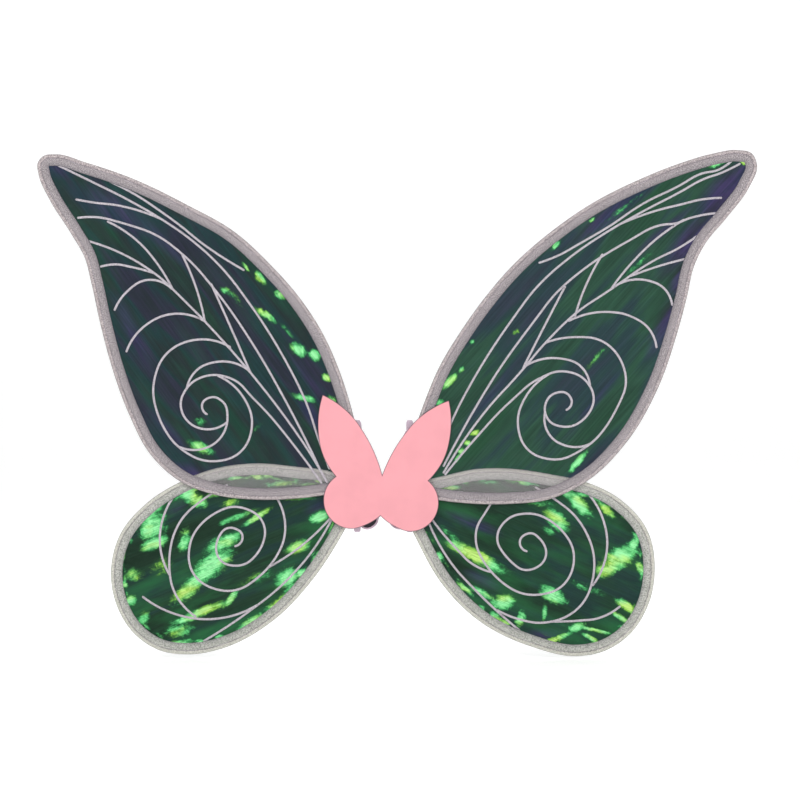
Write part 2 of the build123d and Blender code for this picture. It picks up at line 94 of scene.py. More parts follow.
# ---------------------------------------------------------------- the wings' outlines, in millimetres
# Outer edge of each wing, from the sleeve at the root along the leading edge, round the tip and back.
# grain is the lean of the film's grain in degrees, and tones are its bands of colour, in order.
# sheen is how much painted green sheen, a painted reflection, lies on the dark film, and rim how much
# painted sparkle highlight lies in the puckers by the ribbon.
# glints are painted highlights where the folds would catch the light: x, z, length, width, lean in
# degrees, strength.
# violets are the patches where the film turns violet: x, z, length, width, lean, strength.
WINGS = {
    "upper_left": {
        "side": -1,
        "edge": [
            (-15, 3.2), (-23, 14), (-28, 48), (-40, 99), (-53, 138), (-72, 180), (-98, 220), (-133, 260),
            (-177, 300), (-230, 330), (-300, 363.5), (-350, 380.5), (-388, 390.5), (-401, 388.5),
            (-408, 380), (-407, 367), (-394, 337), (-370, 299), (-352, 267), (-345, 240), (-334, 190),
            (-321, 141), (-300, 83), (-274, 35), (-240, 4.5), (-200, -11), (-150, -17), (-100, -15.5),
            (-55, -9.5), (-15, -3.2),
        ],
        "tip": (-407, 384),
        "grain": -54,
        "sheen": 0.12,
        "tones": ("#123029", "#1b2027", "#152a30", "#221e33", "#1a1b27"),
        "glints": [
            (-162, 257, 14, 4, -60, 0.9), (-146, 245, 17, 10, -50, 1), (-122, 224, 14, 8, -35, 1),
            (-187, 230, 11, 7, -30, 0.7), (-138, 200.5, 28, 8, -36, 1), (-101, 160, 20, 13, -30, 1),
            (-81, 154, 15, 12, -45, 1), (-67, 127, 11, 8, -20, 1), (-94, 103, 26, 8, -15, 1),
            (-215, 45, 30, 11, -25, 1), (-176, 222, 30, 7, -45, 0.45), (-215, 75, 16, 10, 0, 0.4),
            (-150, 68, 18, 6, 40, 0.4), (-62, 100, 10, 14, 70, 0.8), (-120, 190, 40, 5, -50, 0.35),
        ],
        "violets": [
            (-215, 6, 110, 30, -8, 1), (-130, 4, 110, 16, -4, 0.8), (-320, 325, 90, 32, -28, 0.7),
            (-262, 290, 110, 16, -42, 0.6), (-120, 236, 60, 13, -40, 0.9), (-92, 135, 90, 12, -58, 0.7),
            (-295, 180, 90, 16, -62, 0.6), (-84, 82, 50, 14, -60, 0.9), (-250, 60, 60, 14, -50, 0.6),
            (-385, 375, 40, 20, -20, 0.5),
        ],
    },
    "upper_right": {
        "side": 1,
        "edge": [
            (15, 3.2), (23, 13), (32, 50), (49, 100), (66, 140), (90, 180), (120, 222), (150, 257),
            (200, 301), (250, 335), (300, 360), (350, 380), (389, 391.5), (417, 395.5), (435, 391),
            (440.5, 379), (431, 351), (406, 317), (379, 284), (367, 260), (358, 222), (347, 181),
            (324, 115), (287, 51), (239, 4), (194, -17), (150, -22), (100, -21.5), (55, -15.5),
            (15, -3.2),
        ],
        "tip": (438, 386),
        "grain": 48,
        "sheen": 0.08,
        "tones": ("#1c3d2b", "#1e362d", "#233f33", "#1f2f37", "#26283a"),
        "glints": [
            (203, 283, 15, 6, 50, 1), (246, 313, 8, 4, 40, 0.8), (104, 169, 8, 5, 40, 0.8),
            (79, 123, 24, 8, 50, 1), (92, 136, 10, 6, 50, 0.9), (66.5, 97, 10, 9, 60, 1),
            (108, 62, 10, 6, 20, 1), (99, 50, 8, 6, 0, 1), (92, 40.5, 8, 6, 20, 1),
            (87, 31.5, 11, 4, 62, 1), (229, 27.5, 30, 7, 50, 1), (393, 379, 22, 6, 20, 0.85),
            (425, 381, 10, 6, -40, 0.8), (157, 181, 10, 6, 40, 0.5), (280, 325, 60, 6, 35, 0.35),
            (60, 60, 12, 5, 70, 0.8), (250, 150, 40, 6, 50, 0.35), (300, 260, 50, 7, 40, 0.3),
        ],
        "violets": [
            (400, 342, 100, 34, 52, 1), (362, 288, 90, 30, 50, 1), (351, 243, 60, 24, 78, 0.9),
            (336, 196, 80, 22, 62, 0.9), (280, 330, 150, 18, 38, 0.9), (425, 372, 40, 16, 40, 0.9),
            (318, 120, 80, 18, 64, 0.6), (244, 20, 60, 12, 32, 0.6), (118, 96, 90, 12, 52, 0.6),
            (330, 300, 90, 9, 40, 0.7), (260, 110, 120, 8, 50, 0.5), (60, 116, 40, 10, 70, 0.7),
        ],
    },
    "lower_left": {
        "side": -1,
        "edge": [
            (-15, 3.2), (-45, 10.5), (-66, 17.2), (-100, 21.5), (-150, 25.7), (-193, 21), (-240, 4),
            (-280, -21.5), (-311, -58), (-322, -106), (-314, -145), (-293, -177), (-265, -195),
            (-230, -200), (-182, -190), (-129, -159), (-82, -109.5), (-46, -53), (-33, -28),
            (-22.5, -9.5), (-15, -3.2),
        ],
        "tip": (-304, -163),
        "grain": 22,
        "rim": 0.22,
        "sheen": 0.8,
        "tones": ("#0b1c14", "#0f2319", "#142c20", "#13272a", "#173320"),
        "glints": [
            (-226, -14, 34, 16, -30, 1), (-273, -49, 34, 26, 45, 1), (-271, -69, 30, 14, 20, 1),
            (-294, -106, 22, 14, 0, 0.7), (-306, -118, 8, 7, 0, 1), (-299, -136, 14, 12, 30, 0.9),
            (-283, -157, 18, 12, 70, 0.8), (-242, -187, 22, 7, 10, 1), (-235, -65, 28, 14, 80, 0.85),
            (-181, -20, 24, 10, 20, 0.7), (-172, -37, 44, 8, 22, 0.8), (-150, -38, 36, 7, 32, 1),
            (-188, -68, 46, 16, 24, 0.95), (-202, -94, 56, 24, 42, 1), (-228, -120, 52, 18, 44, 0.9),
            (-212, -148, 52, 9, 20, 1), (-233, -158, 34, 8, 15, 0.9), (-180, -134, 26, 7, 52, 0.9),
            (-242, -172, 34, 14, 10, 0.7), (-101, -73, 32, 14, 22, 1), (-75, -37, 24, 13, 20, 1),
            (-113, -108, 32, 20, 35, 1), (-97, -104, 18, 9, 20, 1), (-128, -143, 60, 9, 42, 1),
            (-157, -161, 36, 8, 35, 1), (-76, -82, 24, 8, 52, 0.9), (-103, -16, 40, 6, 3, 0.6),
            (-262, -95, 30, 20, 40, 0.45), (-150, -110, 40, 12, 25, 0.5), (-190, -8, 40, 8, 15, 0.7),
            (-120, 2, 50, 6, 4, 0.55), (-150, 11, 18, 8, -25, 1), (-180, 8, 10, 6, 0, 0.7),
            (-88, 1, 26, 5, 5, 0.6),
        ],
        "violets": [(-70, -22, 40, 16, 20, 0.7), (-245, -26, 30, 12, 30, 0.5), (-150, -176, 50, 8, 30, 0.6)],
    },
    "lower_right": {
        "side": 1,
        "edge": [
            (15, 3.2), (40, 4.5), (70, 10.8), (109, 19), (150, 19.5), (200, 12.3), (241, 3), (280, -17),
            (312, -54), (320.5, -103), (313, -141), (290, -177), (262, -195.5), (230, -202),
            (174, -190.5), (115, -162), (70, -118), (40, -66), (28, -40), (21, -12), (15, -3.2),
        ],
        "tip": (302, -160),
        "grain": -24,
        "rim": 0.22,
        "sheen": 0.65,
        "tones": ("#0b1d15", "#0e241a", "#132d21", "#14292b", "#153021"),
        "glints": [
            (230, -22, 42, 15, -50, 1), (216, -10, 18, 8, -30, 1), (263, -29, 26, 9, -42, 0.95),
            (204, -40, 34, 20, -45, 0.95), (196, -54, 16, 10, -20, 0.7), (279, -86, 46, 24, 28, 1),
            (265, -100, 30, 16, 20, 1), (296, -69, 20, 11, 60, 1), (303, -97, 16, 10, -60, 1),
            (112, -85, 70, 15, -28, 1), (90, -76, 38, 10, -30, 1), (201, -130, 32, 16, -30, 1),
            (190, -152, 22, 6, 85, 0.8), (142, -138, 26, 17, 10, 1), (118, -128, 34, 7, -30, 0.95),
            (97, -123, 26, 5, -40, 0.9), (131, -154, 15, 8, -20, 0.9), (162, -157, 18, 11, 70, 0.95),
            (286, -142, 26, 10, -35, 1), (279, -156, 26, 6, -30, 1), (228, -168, 20, 10, 20, 1),
            (249, -171, 44, 4, -12, 1), (244, -180, 20, 6, -30, 1), (208, -180, 36, 7, 22, 1),
            (75, -55, 30, 8, -35, 0.6), (180, -20, 50, 8, -8, 0.5), (240, -120, 40, 12, -20, 0.4),
            (121, 3, 40, 5, 3, 0.45), (152, 4, 18, 5, -5, 0.45), (81, -3, 24, 6, 5, 0.8),
        ],
        "violets": [
            (105, -45, 60, 14, -22, 0.7), (118, -112, 40, 12, -25, 0.8), (196, -176, 40, 12, -5, 0.9),
        ],
    },
}

# Side view of a shoulder loop, y and z: from its sewn end up, over the fold, round the loop and back.
STRAP_ROUTE = [
    (-0.6, 47), (-0.6, 60), (-0.5, 73), (0.7, 76.4), (2.0, 73.2), (4.4, 69.6), (11, 69.4), (34, 73),
    (74, 64), (102, 34), (108, -4), (92, -34), (60, -48), (26, -51), (9, -50.3), (4.2, -50.4),
    (2.0, -52.4), (0.7, -55.4), (-0.5, -52.2), (-0.6, -44), (-0.6, -34),
]
STRAP_PLACE = 31.0
STRAP_WIDTH = 8.0
STRAP_FOLDS = (77.0, -56.0)     # heights of the two folds
FOLD_ROUND = 3.2                # corner radius of a folded strap end
STITCH_BOXES = (54.0, -41.0)
STITCH_BOX = (5.6, 12.0)


# ---------------------------------------------------------------- settings that a user would change
class WingSettings(bpy.types.PropertyGroup):
    """Sizes of the film's waves, the edge ribbon and its seam."""

    film_wall: bpy.props.FloatProperty(
        name="Film Wall", description="Thickness of the film", default=0.00015, unit="LENGTH"
    )
    billow: bpy.props.FloatProperty(
        name="Billow", description="Height of the film's broad waves", default=0.0009, unit="LENGTH"
    )
    crease: bpy.props.FloatProperty(
        name="Crease", description="Height of the film's sharp creases", default=0.0008, unit="LENGTH"
    )
    pucker: bpy.props.FloatProperty(
        name="Pucker", description="Height of the puckers beside the seam", default=0.0004, unit="LENGTH"
    )
    ribbon_width: bpy.props.FloatProperty(
        name="Ribbon Width", description="Outer to inner edge of the folded ribbon", default=0.0136,
        unit="LENGTH",
    )
    stitch: bpy.props.FloatProperty(
        name="Stitch", description="Length of one seam stitch", default=0.0022, unit="LENGTH"
    )


class CentreSettings(bpy.types.PropertyGroup):
    """Sizes and colour of the cover, the pad and the straps."""

    cover_round: bpy.props.FloatProperty(
        name="Cover Rounding", description="Radius of the foam's cut edge", default=0.00095, unit="LENGTH"
    )
    thread_pitch: bpy.props.FloatProperty(
        name="Thread Pitch", description="Spacing of the pad's edge threads", default=0.0012, unit="LENGTH"
    )
    foam: bpy.props.FloatVectorProperty(
        name="Foam", description="Colour of the butterfly cover", default=linear("#d69198")[:3],
        subtype="COLOR",
    )


# ---------------------------------------------------------------- drawing
def smooth_line(points, per_span=24):
    """A smooth line through the points, which leaves each one along the circle through its neighbours."""
    p = np.array(points, float)
    chord = np.diff(p, axis=0)
    span = np.linalg.norm(chord, axis=1)[:, None]
    lean = chord / span**2
    heading = np.zeros_like(p)
    heading[1:-1] = lean[:-1] + lean[1:]
    heading[0], heading[-1] = chord[0], chord[-1]
    heading /= np.linalg.norm(heading, axis=1)[:, None]
    t = np.linspace(0, 1, per_span, endpoint=False)[:, None]
    pieces = []
    for i in range(len(chord)):
        a, b, u, v = p[i], p[i + 1], heading[i] * span[i], heading[i + 1] * span[i]
        pieces.append(
            (2 * t**3 - 3 * t**2 + 1) * a + (t**3 - 2 * t**2 + t) * u
            + (3 * t**2 - 2 * t**3) * b + (t**3 - t**2) * v
        )
    return np.vstack([*pieces, p[-1:]])


def line_length(line):
    return np.concatenate([[0], np.cumsum(np.linalg.norm(np.diff(line, axis=0), axis=1))])


def respaced(line, count):
    """The same line with evenly spaced points."""
    along = line_length(line)
    wanted = np.linspace(0, along[-1], count)
    return np.column_stack([np.interp(wanted, along, line[:, k]) for k in range(line.shape[1])])


def left_normals(line, closed=False):
    ahead = np.roll(line, -1, axis=0) - np.roll(line, 1, axis=0) if closed else np.gradient(line, axis=0)
    ahead /= np.linalg.norm(ahead, axis=1)[:, None]
    return np.column_stack([-ahead[:, 1], ahead[:, 0]])


def smoothstep(value, low, high):
    t = np.clip((value - low) / (high - low), 0, 1)
    return t * t * (3 - 2 * t)


ROOT_START = 30.0    # ribbon and panels start this far from the middle, under the cover
LINE_STEP = 2.0      # spacing of the points on a wing's edge line
WIRE_RADIUS = 1.2
RIM_RADIUS = 1.9     # outside of the ribbon where it goes round the wire
SLEEVE = (4.0, 9.0)  # the wire's straight stretch in its sleeve, from the middle
RIBBON_WALL = 0.3
RIPPLE = 0.18        # height of the gathers along the ribbon's inner edge
SEAM = 4.7           # outer edge to the stitched seam
PANEL_EDGE = 5.5     # outer edge to the panels' own edge
FILM_PLACE = -0.38   # film, in front of the middle of the ribbon
NET_PLACE = 0.30     # net, behind it
NET_WALL = 0.2
VEIN_SINK = 0.08     # the print is pressed this far into the film
FOLD_BAND = 7.0      # width of the strip across the fold line, which does not bend


class Wing:
    """One wing's lines, in millimetres, and the depth of its crinkled film at any point."""

    def __init__(self, name):
        facts = WINGS[name]
        self.name, self.side, self.facts = name, facts["side"], facts
        low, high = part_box(f"{name}_binding")
        self.plane = (low[1] + high[1]) / 2 / MM
        whole = smooth_line(facts["edge"])
        whole = respaced(whole, int(line_length(whole)[-1] / LINE_STEP))
        self.wire_line = whole + left_normals(whole) * -self.side * RIM_RADIUS
        self.edge = whole[np.abs(whole[:, 0]) >= ROOT_START]
        self.inward = left_normals(self.edge) * -self.side
        self.tree = KDTree(len(self.edge))
        for i, (x, z) in enumerate(self.edge):
            self.tree.insert((x, 0, z), i)
        self.tree.balance()
        self.seed = 3.7 * (list(WINGS).index(name) + 1)

    def from_edge(self, x, z):
        """Distance to the outer edge, and the place along it, in millimetres."""
        _, index, gap = self.tree.find((x, 0, z))
        return gap, index * LINE_STEP

    def depth(self, x, z, settings):
        """How far the film lies behind its flat plane at a point, in millimetres."""
        gap, station = self.from_edge(x, z)
        at = Vector((x * 0.011, z * 0.011, self.seed))
        waves = noise.noise(at) * settings.billow / MM
        crease = (0.3 - abs(noise.noise(at * 3.3))) * settings.crease / MM
        crease += (0.25 - abs(noise.noise(at * 7.9))) * settings.crease * 0.45 / MM
        ripple = math.sin(station * 0.62 + 5 * noise.noise((station * 0.02, self.seed, 0)))
        pucker = ripple * settings.pucker / MM * math.exp(-max(gap - 14, 0) / 8)
        calm = float(smoothstep(gap, 14.0, 24.0))
        return calm * (waves + crease) + float(smoothstep(gap, 13.5, 16.5)) * pucker

    def rim_glints(self, points):
        """Painted sparkle highlights in the puckers beside the ribbon, which only the lower wings have."""
        if self.name.startswith("upper"):
            return np.zeros(len(points))
        out = []
        for x, z in points:
            gap, station = self.from_edge(x, z)
            chance = noise.noise((station * 0.07, gap * 0.16, self.seed)) * 1.5 + self.facts["rim"]
            out.append(np.clip(chance, 0, 0.85) * float(1 - smoothstep(gap, 15.0, 21.0)))
        return np.array(out)

    def panel_points(self, rows, columns):
        """Points (rows, columns, 2) over the panel, from the root to the tip and from edge to edge."""
        line = self.edge + self.inward * PANEL_EDGE
        tip = int(np.argmin(np.linalg.norm(self.edge - np.array(self.facts["tip"]), axis=1)))
        leading = respaced(line[: tip - 1], rows)
        trailing = respaced(line[: tip + 1 : -1], rows)
        share = np.linspace(0, 1, columns)[None, :, None]
        return leading[:, None, :] * (1 - share) + trailing[:, None, :] * share


def patches(points, blobs):
    """Strength, 0 to 1, of the soft oval patches at each of the points."""
    out = np.zeros(len(points))
    for x, z, long, wide, lean, strength in blobs:
        turn = math.radians(lean)
        dx, dz = points[:, 0] - x, points[:, 1] - z
        u = (dx * math.cos(turn) + dz * math.sin(turn)) / (long / 2)
        v = (dz * math.cos(turn) - dx * math.sin(turn)) / (wide / 2)
        out = np.maximum(out, strength * np.clip(1.45 - np.hypot(u, v), 0, 1))
    return out


def depth_inside(points, outline):
    """How far each point lies inside the closed outline, negative outside."""
    a = outline
    run = np.roll(outline, -1, axis=0) - a
    offset = points[:, None, :] - a[None, :, :]
    share = np.clip(np.sum(offset * run, axis=2) / np.sum(run * run, axis=1), 0, 1)
    gap = np.min(np.linalg.norm(offset - share[..., None] * run, axis=2), axis=1)
    above = offset[..., 1] < 0
    crosses = above != (offset[..., 1] - run[:, 1] < 0)
    side = run[:, 0] * offset[..., 1] - run[:, 1] * offset[..., 0]
    within = np.sum(crosses & ((side > 0) == (run[:, 1] > 0)), axis=1) % 2 == 1
    return np.where(within, gap, -gap)


# ---------------------------------------------------------------- making meshes
def new_object(name, vertices, faces, uvs=None):
    """An object at the origin from points in millimetres. uvs has one pair per point, in metres."""
    mesh = bpy.data.meshes.new(name)
    mesh.from_pydata([Vector(v) * MM for v in vertices], [], faces)
    if uvs is not None:
        layer = mesh.uv_layers.new(name="UVMap")
        corner = np.zeros(len(mesh.loops), dtype=np.int32)
        mesh.loops.foreach_get("vertex_index", corner)
        layer.data.foreach_set("uv", np.array(uvs, np.float32)[corner].ravel())
    mesh.validate()
    mesh.update()
    piece = bpy.data.objects.new(name, mesh)
    bpy.context.scene.collection.objects.link(piece)
    return piece


def grid_faces(rows, columns, closed_rows=False, closed_columns=False):
    down = rows if closed_rows else rows - 1
    across = columns if closed_columns else columns - 1
    faces = []
    for i in range(down):
        for j in range(across):
            k, m = (i + 1) % rows, (j + 1) % columns
            faces.append((i * columns + j, i * columns + m, k * columns + m, k * columns + j))
    return faces


def select_only(piece):
    if bpy.context.object and bpy.context.object.mode != "OBJECT":
        bpy.ops.object.mode_set(mode="OBJECT")
    bpy.ops.object.select_all(action="DESELECT")
    piece.select_set(True)
    bpy.context.view_layer.objects.active = piece


def apply_modifier(piece, kind, **settings):
    select_only(piece)
    modifier = piece.modifiers.new(kind.title(), kind)
    for key, value in settings.items():
        setattr(modifier, key, value)
    bpy.ops.object.modifier_apply(modifier=modifier.name)


def normals_outside(piece):
    select_only(piece)
    bpy.ops.object.mode_set(mode="EDIT")
    bpy.ops.mesh.select_all(action="SELECT")
    bpy.ops.mesh.remove_doubles(threshold=0.00001)
    bpy.ops.mesh.normals_make_consistent(inside=False)
    bpy.ops.object.mode_set(mode="OBJECT")


def smooth(piece, degrees=180):
    select_only(piece)
    if degrees >= 180:
        bpy.ops.object.shade_smooth()
    else:
        bpy.ops.object.shade_smooth_by_angle(angle=math.radians(degrees))


def node_copy(node, name):
    """A merged copy of a CAD node's mesh, to be worked on."""
    source = frame["nodes"][node]
    mesh = source.data.copy()
    mesh.name = name
    mesh.materials.clear()
    piece = bpy.data.objects.new(name, mesh)
    bpy.context.scene.collection.objects.link(piece)
    select_only(piece)
    bpy.ops.object.mode_set(mode="EDIT")
    bpy.ops.mesh.select_all(action="SELECT")
    bpy.ops.mesh.remove_doubles(threshold=0.000005)
    bpy.ops.mesh.select_all(action="DESELECT")
    bpy.ops.object.mode_set(mode="OBJECT")
    return piece


def point_attribute(piece, name, values):
    attribute = piece.data.attributes.new(name, "FLOAT", "POINT")
    attribute.data.foreach_set("value", np.array(values, np.float32))


def across_fold(piece, wing):
    """Bakes the piece's placing into its mesh. The band across the fold line is worked out, but the piece
    does not bend with its wing.
    """
    fold = next(j for j in frame["joints"] if j["name"] == f"{wing.name}_fold")["pos_m"]
    start, end = Vector(fold), Vector(fold)
    start.x -= wing.side * FOLD_BAND * MM / 2
    end.x += wing.side * FOLD_BAND * MM / 2
    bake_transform(piece)



# ---------------------------------------------------------------- materials
def connect(tree, node, inputs):
    """Sets a node's inputs, or links them where the value is another node's output."""
    for key, value in inputs.items():
        if isinstance(value, bpy.types.NodeSocket):
            tree.links.new(value, node.inputs[key])
        else:
            node.inputs[key].default_value = value


def add(tree, kind, inputs=None, out=0, stops=(), **settings):
    """Adds a node with its settings and links, and gives one of its outputs. stops are a ramp's colours."""
    node = tree.nodes.new(kind)
    for key, value in settings.items():
        setattr(node, key, value)
    for _ in stops[2:]:
        node.color_ramp.elements.new(0.5)
    for index, (place, colour) in enumerate(stops):
        if isinstance(colour, str):
            colour = linear(colour)
        element = node.color_ramp.elements[index]
        element.position = place
        element.color = colour if isinstance(colour, tuple) else (colour, colour, colour, 1.0)
    connect(tree, node, inputs or {})
    return node.outputs[out]


def new_material(name, **surface):
    """A material with one Principled shader. surface sets its sockets, with _ for a space."""
    material = bpy.data.materials.new(name)
    material.use_nodes = True
    tree = material.node_tree
    shader = tree.nodes["Principled BSDF"]
    connect(tree, shader, {key.replace("_", " "): value for key, value in surface.items()})
    return material, tree, shader


def dress(piece, material, slot=None, *nodes):
    """Gives a piece its material and hides the CAD nodes that it replaces. slot, the finish slot it comes
    under, is not used.
    """
    piece.data.materials.clear()
    piece.data.materials.append(material)
    if nodes:
        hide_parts(*nodes)


def film_material(name, facts):
    """Iridescent film, calendered and crinkled: dark, with colours that shift along its grain, and
    painted bright green highlights where its folds would throw back the light."""
    material, tree, shader = new_material(
        name, Roughness=0.32, IOR=1.45, Specular_IOR_Level=0.26, Coat_Weight=0.12, Coat_Roughness=0.12,
        Specular_Tint=linear("#9fe0b0"),
    )
    place = add(tree, "ShaderNodeTexCoord", out="Object")
    lean = math.radians(facts["grain"])
    grain = add(tree, "ShaderNodeVectorRotate", {"Vector": place, "Angle": lean}, rotation_type="Y_AXIS")

    # each pattern: length along the grain and width across it in millimetres, detail, and its start
    patterns = {
        "bands": (200, 29.4, 3, 2.1 * facts["side"]),
        "violet": (111, 16.7, 2, 7.7),
        "streaks": (71.4, 1.92, 2, 0.0),
        "sheen": (90.9, 22.7, 4, 12.3),
        "combed": (14.3, 1.0, 2, 3.1),
        "folds": (25, 8.33, 3, 5.5),
        "warmth": (62.5, 22.2, 2, 4.2),
        "creases": (33.3, 2.63, 2, 9.0),
    }
    for key, (long, wide, detail, start) in patterns.items():
        sized = add(tree, "ShaderNodeVectorMath", {0: grain, 1: (1 / (long * MM), 1.0, 1 / (wide * MM))},
                    operation="MULTIPLY")
        moved = add(tree, "ShaderNodeVectorMath", {0: sized, 1: (start, start, start)}, operation="ADD")
        patterns[key] = add(tree, "ShaderNodeTexNoise", {"Vector": moved, "Scale": 1.0, "Detail": detail})
    glint, violet, near_lap = (
        add(tree, "ShaderNodeAttribute", out="Fac", attribute_name=key)
        for key in ("glint", "violet", "lapped")
    )

    # the dark ground: bands of colour, violet patches, fine streaks and a faint green sheen, painted
    # reflection
    places = (0.30, 0.42, 0.50, 0.58, 0.70)
    colour = add(tree, "ShaderNodeValToRGB", {"Fac": patterns["bands"]},
                 stops=list(zip(places, facts["tones"])))
    patch = add(tree, "ShaderNodeValToRGB", {"Fac": patterns["violet"]},
                stops=[(0.35, "#1f2140"), (0.52, "#33264e"), (0.68, "#1e162a")])
    colour = add(tree, "ShaderNodeMix", {0: violet, 6: colour, 7: patch}, 2, data_type="RGBA")
    streaks = add(tree, "ShaderNodeValToRGB", {"Fac": patterns["streaks"]},
                  stops=[(0.30, 0.75), (0.52, 1.0), (0.72, 1.28)])
    colour = add(tree, "ShaderNodeMix", {0: 1.0, 6: colour, 7: streaks}, 2, data_type="RGBA",
                 blend_type="MULTIPLY")
    sheen = add(tree, "ShaderNodeValToRGB", {"Fac": patterns["sheen"]},
                stops=[(0.47, 0.0), (0.60, 0.5), (0.74, 1.0)])
    sheen = add(tree, "ShaderNodeMath", {0: sheen, 1: facts["sheen"]}, operation="MULTIPLY")
    colour = add(tree, "ShaderNodeMix", {0: sheen, 6: colour, 7: linear("#1f5c33")}, 2, data_type="RGBA")

    # painted highlights where the folds would catch the light: ragged edges, cool or warm green,
    # combed along the grain
    ragged = add(tree, "ShaderNodeTexNoise", {"Vector": place, "Scale": 1 / (6.67 * MM), "Detail": 6.0,
                                              "Roughness": 0.7, "Distortion": 0.9})
    level = add(tree, "ShaderNodeMath", {0: glint, 1: 1.375}, operation="SUBTRACT")
    for texture, share in ((ragged, 1.5), (patterns["folds"], 0.9), (patterns["combed"], 0.35)):
        level = add(tree, "ShaderNodeMath", {0: texture, 1: share, 2: level}, operation="MULTIPLY_ADD")
    near_glint = add(tree, "ShaderNodeValToRGB", {"Fac": glint}, stops=[(0.0, 0.0), (0.22, 1.0)])
    halo = add(tree, "ShaderNodeValToRGB", {"Fac": level}, stops=[(0.0, 0.0), (0.30, 0.4), (0.65, 1.0)])
    halo = add(tree, "ShaderNodeMath", {0: halo, 1: near_glint}, operation="MULTIPLY")
    cool = add(tree, "ShaderNodeValToRGB", {"Fac": level}, stops=[
        (0.1, "#0f3320"), (0.32, "#1f5a34"), (0.5, "#3a8f52"), (0.72, "#58b56d"), (0.98, "#86d492")])
    warm = add(tree, "ShaderNodeValToRGB", {"Fac": level}, stops=[
        (0.1, "#15361f"), (0.32, "#345f2a"), (0.5, "#578f38"), (0.72, "#7eb044"), (0.98, "#a8cd6c")])
    warmth = add(tree, "ShaderNodeValToRGB", {"Fac": patterns["warmth"]}, stops=[(0.48, 0.0), (0.62, 1.0)])
    bright = add(tree, "ShaderNodeMix", {0: warmth, 6: cool, 7: warm}, 2, data_type="RGBA")
    combed = add(tree, "ShaderNodeValToRGB", {"Fac": patterns["combed"]}, stops=[(0.35, 0.5), (0.6, 1.2)])
    bright = add(tree, "ShaderNodeMix", {0: 0.5, 6: bright, 7: combed}, 2, data_type="RGBA",
                 blend_type="MULTIPLY")
    colour = add(tree, "ShaderNodeMix", {0: halo, 6: colour, 7: bright}, 2, data_type="RGBA")

    # sheer and pale where the lower wing lies behind
    lapped = add(tree, "ShaderNodeValToRGB", {"Fac": near_lap}, stops=[(0.49, 0.0), (0.51, 1.0)])
    paler = add(tree, "ShaderNodeMath", {0: lapped, 1: 0.95}, operation="MULTIPLY")
    colour = add(tree, "ShaderNodeMix", {0: paler, 6: colour, 7: linear("#cfc5ca")}, 2, data_type="RGBA")
    sheer = add(tree, "ShaderNodeMath", {0: lapped, 1: -0.89, 2: 1.0}, operation="MULTIPLY_ADD")

    crinkle = add(tree, "ShaderNodeTexNoise", {"Vector": place, "Scale": 1 / (11.8 * MM), "Detail": 5.0,
                                               "Roughness": 0.6})
    ridge = add(tree, "ShaderNodeMath", {0: patterns["creases"], 1: 0.35, 2: crinkle},
                operation="MULTIPLY_ADD")
    bump = add(tree, "ShaderNodeBump", {"Height": ridge, "Strength": 0.35, "Distance": 1.2 * MM})
    connect(tree, shader, {"Base Color": colour, "Alpha": sheer, "Normal": bump})
    return material


def net_material():
    """Knitted polyester net, dyed near black: matt, with a fine honeycomb that is drawn at 2 mm, about twice
    as coarse as the real one, so that it shows."""
    material, tree, shader = new_material("dark_knitted_net", Roughness=0.85, Specular_IOR_Level=0.2)
    place = add(tree, "ShaderNodeTexCoord", out="Object")
    cells = add(tree, "ShaderNodeTexVoronoi", {"Vector": place, "Scale": 1 / (2 * MM), "Randomness": 0.35},
                feature="DISTANCE_TO_EDGE")
    threads = add(tree, "ShaderNodeValToRGB", {"Fac": cells},
                  stops=[(0.06, "#33423f"), (0.2, "#10201c"), (0.5, "#0b1614")])
    # painted green sheen: broad patches of painted reflection added over the dark net
    broad = add(tree, "ShaderNodeTexNoise", {"Vector": place, "Scale": 1 / (71.4 * MM), "Detail": 3.0})
    sheen = add(tree, "ShaderNodeValToRGB", {"Fac": broad},
                stops=[(0.35, "#101820"), (0.5, "#12302a"), (0.68, "#1f5a3a")])
    colour = add(tree, "ShaderNodeMix", {0: 0.6, 6: threads, 7: sheen}, 2, data_type="RGBA", blend_type="ADD")
    near_lap = add(tree, "ShaderNodeAttribute", out="Fac", attribute_name="lapped")
    lapped = add(tree, "ShaderNodeValToRGB", {"Fac": near_lap}, stops=[(0.49, 0.0), (0.51, 1.0)])
    solid = add(tree, "ShaderNodeMath", {0: 1.0, 1: lapped}, operation="SUBTRACT")
    bump = add(tree, "ShaderNodeBump", {"Height": cells, "Strength": 0.5, "Distance": 0.6 * MM}, invert=True)
    connect(tree, shader, {"Base Color": colour, "Alpha": solid, "Normal": bump})
    return material


